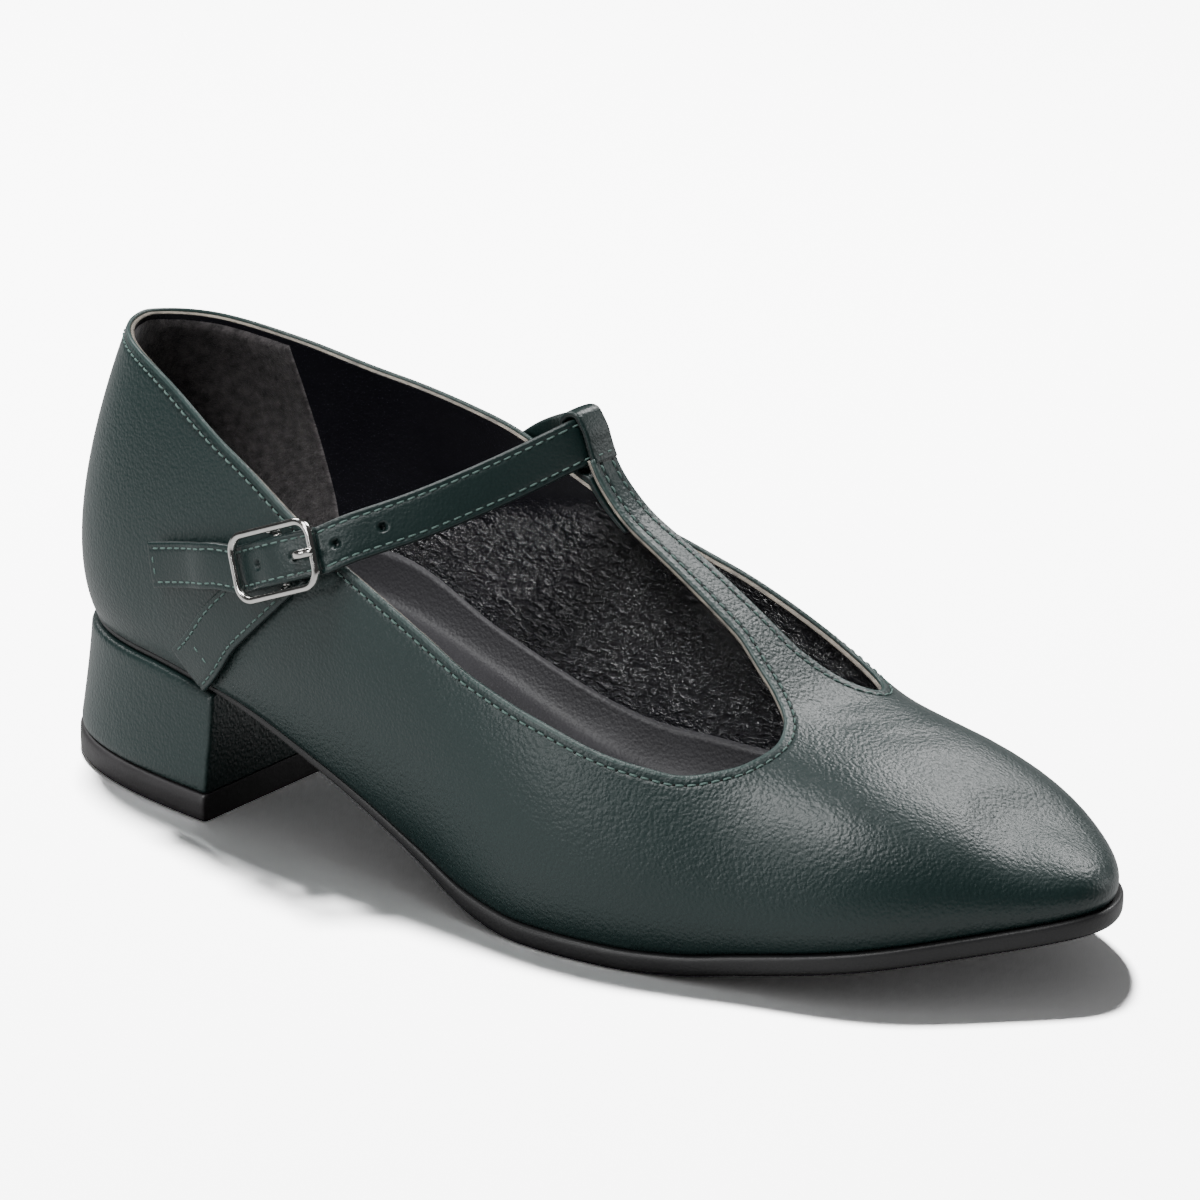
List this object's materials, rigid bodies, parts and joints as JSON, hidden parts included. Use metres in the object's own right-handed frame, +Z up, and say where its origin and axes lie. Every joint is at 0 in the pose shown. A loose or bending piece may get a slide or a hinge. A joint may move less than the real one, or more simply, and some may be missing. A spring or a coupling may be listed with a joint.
{
  "type": "mary jane pump",
  "caption": "Right mary jane pump: hollow upper with a T-bar, ankle strap with buckle, arched sole with toe spring and a low block heel.",
  "frame": {"origin": "middle of the shoe's box in plan, on the floor", "axes": "+X from heel to toe, +Y to the inner side of the foot, +Z up"},
  "size_m": [0.2466, 0.0852, 0.0937],
  "materials": {
    "green_leather": "fine grained, semi-gloss",
    "sock_leather": "black, glossy, crinkled",
    "sole_rubber": "black, satin",
    "heel_leather": "leather-covered block, satin",
    "tip_rubber": "black, matt",
    "strap_leather": "fine grained, semi-gloss",
    "loop_leather": "fine grained, semi-gloss",
    "tab_leather": "fine grained, semi-gloss",
    "buckle_metal": "polished",
    "prong_metal": "polished"
  },
  "bodies": {
    "root": {"upper": "green_leather", "insole": "sock_leather", "outsole": "sole_rubber", "heel_block": "heel_leather", "heel_tip": "tip_rubber", "ankle_strap": "strap_leather", "t_bar_loop": "loop_leather", "buckle_tab": "tab_leather", "buckle_frame": "buckle_metal", "buckle_prong": "prong_metal"}
  },
  "joints": []
}
